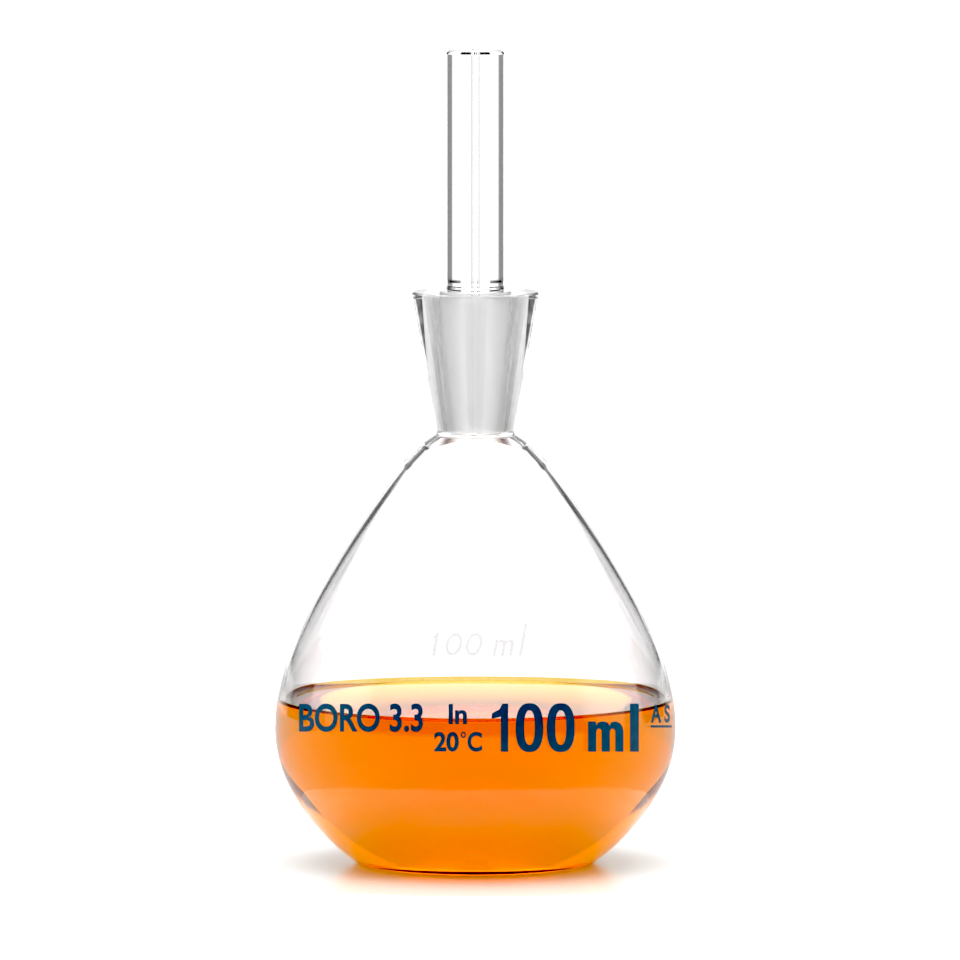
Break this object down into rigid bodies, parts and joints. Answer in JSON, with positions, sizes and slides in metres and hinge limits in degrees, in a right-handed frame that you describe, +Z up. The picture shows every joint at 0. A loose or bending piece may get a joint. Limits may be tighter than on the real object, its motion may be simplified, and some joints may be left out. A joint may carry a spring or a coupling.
{
  "type": "density bottle",
  "caption": "Pear-shaped flat-bottomed glass density bottle with a flared ground neck, lift-out capillary stopper and orange liquid",
  "frame": {"origin": "centre of the flat foot, on the surface the bottle stands on", "axes": "+Z up the bottle's axis through neck and capillary; -Y is the printed front; +X to the right of that front"},
  "size_m": [0.0592, 0.0592, 0.1203],
  "materials": {
    "flask_glass": "polished",
    "stopper_glass": "polished",
    "sample_liquid": "gloss",
    "marking_enamel": "satin"
  },
  "bodies": {
    "flask": {"flask_body": "flask_glass", "sample_liquid": "sample_liquid"},
    "stopper": {"stopper": "stopper_glass"}
  },
  "joints": [
    {"name": "stopper_lift", "type": "slide", "parent": "flask", "child": "stopper", "axis": [0, 0, 1], "range_m": [0, 0.04]}
  ]
}
